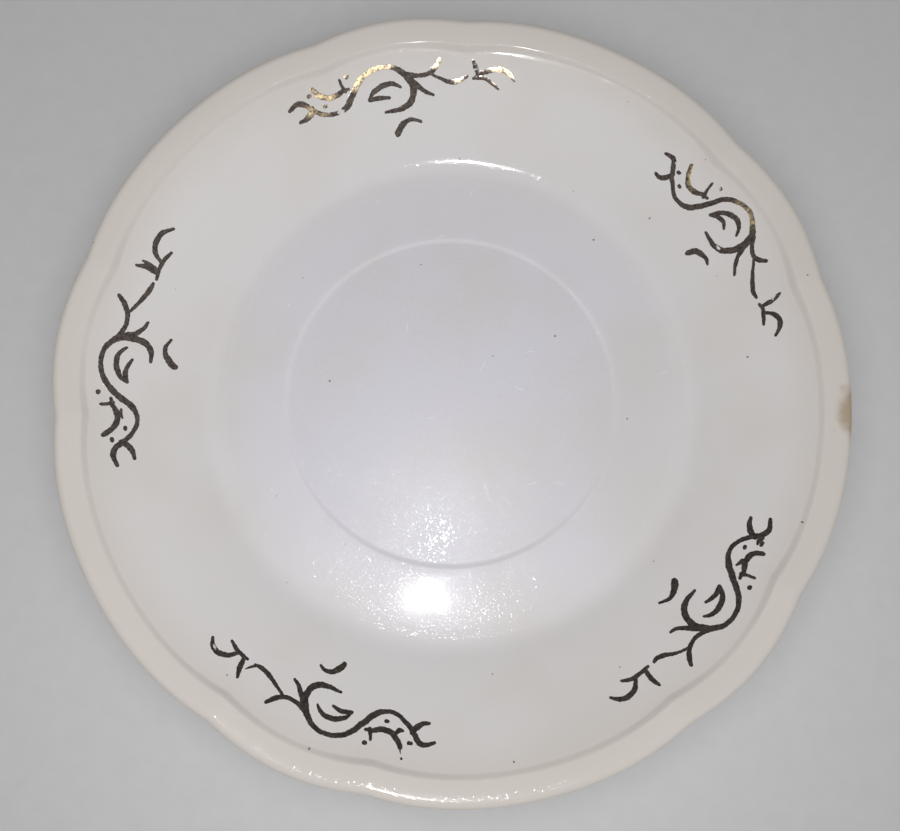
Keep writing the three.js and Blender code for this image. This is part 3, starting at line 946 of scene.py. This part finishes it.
# %% Strokes of the motif
STROKES = {
    "scroll": [
        # Upper prong of the fork, the valley, the crest and the hook
        [
            (-20, -2.1, 0.5), (-18, -1.65, 0.75), (-16.7, -2.3, 0.85), (-15.6, -3.8, 0.8),
            (-14.3, -5.1, 0.7), (-12.5, -6.05, 0.65), (-10.5, -6.15, 0.65), (-8.6, -5.3, 0.95),
            (-6.6, -3.2, 0.95), (-4.3, -1.15, 0.8), (-2, -0.15, 0.68), (0.6, 0, 0.65),
            (2.6, -0.65, 0.75), (4.5, -2.2, 1), (5.75, -4.3, 1.15), (5, -6.5, 1.05),
            (2.9, -7.45, 0.8), (-0.1, -7.5, 0.45),
        ],
        # Lower prong of the fork
        [(-19.1, -5.2, 0.5), (-17.6, -5, 0.75), (-16.3, -4.3, 0.95), (-15.6, -3.5, 0.8)],
        # Stem with its upturned spur
        [
            (3, -1, 0.6), (5, -2.1, 0.75), (7.4, -2.6, 0.62), (9.4, -2.3, 0.7),
            (10.7, -1.3, 0.8), (11.5, -0.3, 0.62),
        ],
        # Thin end of the stem
        [(9.6, -2.5, 0.45), (11.8, -3.4, 0.55), (14, -4.1, 0.7), (15.8, -4.35, 0.65), (17, -4.2, 0.4)],
        # Thorn on the back of the hook
        [(5.6, -3.2, 0.95), (7, -4.4, 0.8), (8.5, -5.4, 0.62), (9.9, -5.9, 0.4)],
    ],
    "leaf": [
        [
            (-3.9, -4.5, 0.45), (-2.9, -3.4, 0.7), (-1.4, -2.7, 0.8), (0.2, -2.5, 0.75),
            (1.8, -2.85, 0.65), (3.1, -3.75, 0.38),
        ],
        [(-3.8, -4.5, 0.6), (-2.2, -4.2, 0.72), (-0.8, -4.35, 0.62), (0.6, -4.85, 0.4)],
    ],
    "comma": [
        [(0.8, -11.6, 1.1), (1.9, -10.6, 1.1), (3.2, -9.85, 0.8), (4.6, -9.6, 0.62), (6.7, -10.2, 0.4)],
    ],
    "bracket": [
        [
            (-14.1, -0.95, 0.75), (-13.2, -2.1, 0.8), (-12, -2.95, 0.8), (-10.6, -3.15, 0.78),
            (-9.3, -2.85, 0.75), (-8.4, -2.4, 0.55),
        ],
        [(-8.5, -0.7, 0.4), (-8.4, -1.7, 0.55), (-8.1, -2.6, 0.7)],
        [(-8.8, -2.6, 0.6), (-7.3, -2.45, 0.42)],
    ],
    "tail": [
        [(18.4, -4.2, 0.35), (20.2, -4.1, 0.58), (22, -4.2, 0.62), (23.8, -4.7, 0.38)],
        [
            (21.3, -3.9, 0.62), (22.4, -2.6, 0.75), (24.1, -1.85, 0.78), (25.8, -2.05, 0.72),
            (27.3, -3.1, 0.48),
        ],
        [(18.4, -0.9, 0.3), (19.1, -2.2, 0.85), (19.3, -3.9, 0.7)],
    ],
    "rim_dot": [[(-6.7, -0.45, 0.62), (-6.5, -0.45, 0.62)]],
    "hollow_dot": [[(-13.2, -4.3, 0.54), (-12.8, -4.3, 0.54)]],
    "fork_dot": [[(-15.4, -1.9, 0.54), (-15, -1.9, 0.54)]],
}
print("strokes in a motif:", sum(len(paths) for paths in STROKES.values()))

# %% [markdown]
# No two motifs are alike, because a hand drew them. Each gets a list of nudges: a place on the flat
# motif, how far the brush strayed there, and how far that reaches. A bell curve fades each nudge, so
# the strokes stay smooth. Some motifs have a stroke more, some have spots where the gold is gone, and
# some have spots where it is rough and painted a lighter gold as a painted glint.

# %% How each motif strays
# For each motif: x, y, shift in x, shift in y, reach
NUDGES = [
    [
        (-18.8, -5.1, 0, 0.8, 1.6), (-11.8, -6.1, 0, 0.8, 2.6), (0, 0, 0, -0.2, 3),
        (0, -3, 0.1, -0.4, 3), (-2, -4.5, 0, -0.6, 2), (-0.1, -7.5, -0.9, 0.1, 1.5),
        (17, -4.2, 0, 0.9, 1.2),
        (15.5, -4.3, 0, 0.25, 1.2), (19.5, -4.1, 0, 0.45, 1.6), (22.4, -2.4, -0.9, 0.6, 1.5),
        (21.3, -3.9, -1.2, 0.9, 0.8), (26.5, -2.7, -0.9, 0.3, 1.5), (19, -2, -0.5, 0.4, 1.5),
        (-14.3, -0.6, 0, 0.3, 1), (-6.6, -0.45, -0.4, 0, 0.8), (-15.2, -1.9, 0, 0.5, 0.6),
    ],
    [
        (-18.8, -1.9, 0, -0.5, 1.8), (0, 0, 0, -0.15, 3), (1.5, -2.9, -0.2, 0.3, 2),
        (-2.5, -4.3, -0.1, 0.25, 1.5), (5.6, -5, -0.9, 0.2, 1.6), (-0.1, -7.5, 1, -0.2, 1.5),
        (9.9, -5.9, -1.1, 0.1, 1.5), (7.5, -4.8, -0.4, -0.3, 1), (11.3, -0.5, 0.4, 0, 1),
        (18.4, -4.2, -0.8, -0.4, 1.2), (22, -4.3, 0, -0.15, 1.5), (27, -2.9, 0.8, 0.1, 1.6),
        (22, -2.6, -0.3, 0.1, 1), (-6.6, -0.45, 0.3, 0.3, 0.8), (-15.2, -1.9, 0.1, -0.2, 0.6),
        (-7.5, -2.4, 0, 0.35, 1),
    ],
    [
        (-20, -2.1, -0.3, 0, 1), (-16.7, -2.5, -0.3, 0, 1), (-16.5, -4, -0.4, 0, 1),
        (-7.3, -4.3, 0.3, -0.2, 1.5), (3, -3.8, -0.2, 0, 1), (0.6, -4.85, -0.5, 0.2, 1),
        (-0.1, -7.5, -0.3, 0.3, 1.5), (2.5, -7.4, 0, 0.3, 2), (9.9, -5.9, -0.7, 0.2, 1.2),
        (18.4, -4.2, 0.7, 0.1, 1), (27.3, -3.1, -0.4, 0.2, 1.2), (0.8, -11.6, 0.5, 0, 1),
        (6.7, -10.2, -0.8, 0.3, 1.2), (-8.5, -0.7, 0, -0.5, 0.7), (-6.6, -0.45, -1.1, 0, 0.8),
        (-13, -4.3, 2.3, -0.3, 0.6), (-15.2, -1.9, -0.5, 0.2, 0.6),
    ],
    [
        (-18.5, -1.8, 0, -0.25, 1.8), (-5.8, -2.5, 0.4, -0.3, 2), (-1.5, -0.1, 0, -0.25, 3),
        (-0.5, -2.6, 0, -0.2, 2), (8.5, -5.4, -0.1, -0.3, 1.2), (11.5, -3.1, 0.4, 0.4, 1.6),
        (17, -4.2, -0.5, 0, 1), (22.5, -4.4, 0, 0.2, 1.5), (19.2, -3.5, -0.5, 0, 1.2),
        (25, -2, 0, -0.25, 2), (0.8, -11.6, 0, 0.5, 1), (4, -9.7, 0, -0.3, 1.5),
        (6.7, -10.2, 0.2, -0.4, 1), (-14.1, -1, 0.9, -0.4, 1),
    ],
    [
        (-18.3, -1.9, -0.1, -0.6, 1.8), (-16.2, -3, -0.3, -0.4, 1), (-18, -5.1, 0.1, -1.1, 1.8),
        (-11, -6.1, 0.2, -0.8, 3), (-7.2, -4.3, 0.9, -0.8, 1.8), (0.5, 0, 0.4, 0.6, 3),
        (5, -2, 0.6, 0.8, 1.5), (7.4, -2.6, 0, 0.4, 1.2), (11.5, -0.3, -0.3, -0.6, 1),
        (16, -4.3, 0.3, -0.5, 1.8), (4.5, -6.5, -0.1, 0.5, 1.6), (-0.1, -7.5, -1, 0.4, 1.6),
        (9.9, -5.9, 0.9, -0.6, 1.6), (1, -2.7, 0.2, 0.5, 2.5), (-1, -4.4, 0.2, 0.25, 1.5),
        (1.9, -10.6, -0.6, 0.3, 1.2), (6.7, -10.2, -1.2, 0.5, 1.2), (-12, -2.4, -0.1, -0.5, 2.5),
        (-15.2, -1.9, 0.2, -1.1, 0.6), (18.4, -4.2, 0.5, -0.2, 1), (22, -4.2, 0, -0.3, 1.5),
        (23, -2.2, -0.5, -0.3, 1.6), (26.5, -2.7, -0.9, -0.5, 1.6),
    ],
]
# Strokes that only one motif has
EXTRA = {
    ("tail", 1): [[(19.7, -1.5, 0.4), (19.6, -2.6, 0.8), (19.4, -3.6, 0.8)]],
    ("bracket", 1): [[(-11, -3.9, 0.3), (-10, -3.6, 0.5), (-9.3, -3.7, 0.35)]],
    ("scroll", 2): [[(16.9, -4.2, 0.5), (17.6, -3.5, 0.4), (18.2, -2.7, 0.25)]],
    ("bracket", 2): [
        [(-14.2, -0.4, 0.25), (-14.5, 0.6, 0.15), (-14.6, 0.8, 0.45)],
        [(-14.2, -3.5, 0.4), (-13.5, -3.5, 0.75), (-13, -3.1, 0.6)],
    ],
    ("scroll", 3): [[(-16, -2.3, 0.5), (-15.2, -2.7, 0.6), (-14.5, -2.7, 0.35)]],
    ("bracket", 3): [[(-10.4, -3.7, 0.6), (-9.6, -3.9, 0.5), (-9, -4.2, 0.3)]],
    ("bracket", 4): [[(-10.6, -4.2, 0.4), (-10.4, -4.2, 0.4)]],
}
# For each motif, where the gold is rubbed away: x, y, reach, strength
WORN = [
    [(-10.3, -5.4, 0.7, 0.6), (-12.8, -4.3, 0.6, 0.4), (18.3, -2.1, 0.8, 0.45)],
    [(17.2, -4.3, 0.6, 0.35)],
    [(25.3, -1.9, 0.5, 0.4)],
    [],
    [(3.5, -6.7, 0.4, 0.6), (18.6, -2.2, 0.6, 0.45), (18, -3.2, 0.5, 0.4), (-6.6, -0.45, 0.6, 0.5)],
]
# For each motif, where the gold is rough and painted a lighter gold as a painted glint: x, y, reach,
# strength
ROUGH_GLINT_SPOTS = [
    [
        (-16.2, -3.6, 0.9, 0.9), (-13.8, -1.6, 1.1, 1), (-11.5, -2.9, 1.2, 0.9), (-13.8, -5.2, 1, 0.6),
        (-5.4, -2.2, 1.1, 0.9), (-3.4, -0.7, 1.2, 1), (-1, -0.2, 1.2, 0.9), (1.2, -0.2, 0.8, 0.8),
        (-7, -0.45, 0.6, 0.6), (11.2, -0.7, 0.9, 0.9),
        (15.4, -4.2, 1, 0.6), (23.4, -1.7, 1.1, 0.9), (25, -1.8, 0.9, 0.8),
    ],
    [],
    [],
    [],
    [
        (-1.5, 0.2, 1, 0.7), (0.8, 0.6, 1, 0.9), (2.9, 0.1, 0.9, 1), (-13, -2, 1.4, 0.8),
        (-11, -3.6, 1, 0.6),
    ],
]
print("nudges:", [len(motif) for motif in NUDGES])

# %% [markdown]
# ## Gilding
# On the real saucer a painter set stroke after stroke. Here each named part of a motif becomes one
# piece: its brush points stray, each path becomes a film, the film is laid on the dish, and its points
# get their share of the worn spots and of the rough spots with a painted glint. A Boolean could join
# the strokes of a part into one skin, but it would cut ragged edges where they cross. So they overlap,
# as brush strokes do.

# %% Gild the dish
# The narrowest width that a brush tip leaves
BLUNT_TIP = 0.46


def stray(points, index):
    """Brush points moved by the motif's nudges, each faded by a bell curve of its reach. Widths are
    held above that of a blunt tip."""
    nudges = np.array(NUDGES[index])
    away = np.linalg.norm(points[:, None, :2] - nudges[:, :2], axis=-1)
    pull = np.exp(-((away / nudges[:, 4]) ** 2) / 2)
    moved = points.copy()
    moved[:, :2] += pull @ nudges[:, 2:4]
    moved[:, 2] = np.maximum(moved[:, 2], BLUNT_TIP)
    return moved


def spots(flat, places):
    """The sum of bell curves at flat points, one for each place (x, y, reach, strength)."""
    total = np.zeros(len(flat), dtype=np.float32)
    for x, y, reach, strength in places:
        total += strength * np.exp(-((flat[:, 0] - x) ** 2 + (flat[:, 1] - y) ** 2) / (2 * reach**2))
    return np.minimum(total, 1)


def gild(name, index):
    """All strokes of one named part of a motif, as one piece in place of its CAD node."""
    paths = [stray(np.array(path, dtype=float), index) for path in STROKES[name]]
    paths += [np.array(path, dtype=float) for path in EXTRA.get((name, index), [])]
    skins, worn_values, rough_glint_values = [], [], []
    for path in paths:
        rings, first, last = gold_film(path)
        flat_points = np.concatenate([rings.reshape(-1, 3), [first, last]])
        laid = drape(flat_points, index)
        skins.append(closed_skin(laid[:-2].reshape(rings.shape), laid[-2], laid[-1]))
        worn_values.append(spots(flat_points, WORN[index]))
        rough_glint_values.append(spots(flat_points, ROUGH_GLINT_SPOTS[index]))
    values = {"worn": np.concatenate(worn_values), "rough_glint": np.concatenate(rough_glint_values)}
    label = "%s_%d" % (name, index + 1)
    return make_piece("gold_" + label, skins, gold, values, "gilt_" + label)


gilding = [gild(name, index) for index in range(MOTIFS) for name in STROKES]
print("gold pieces:", len(gilding), "faces:", sum(len(piece.data.polygons) for piece in gilding))
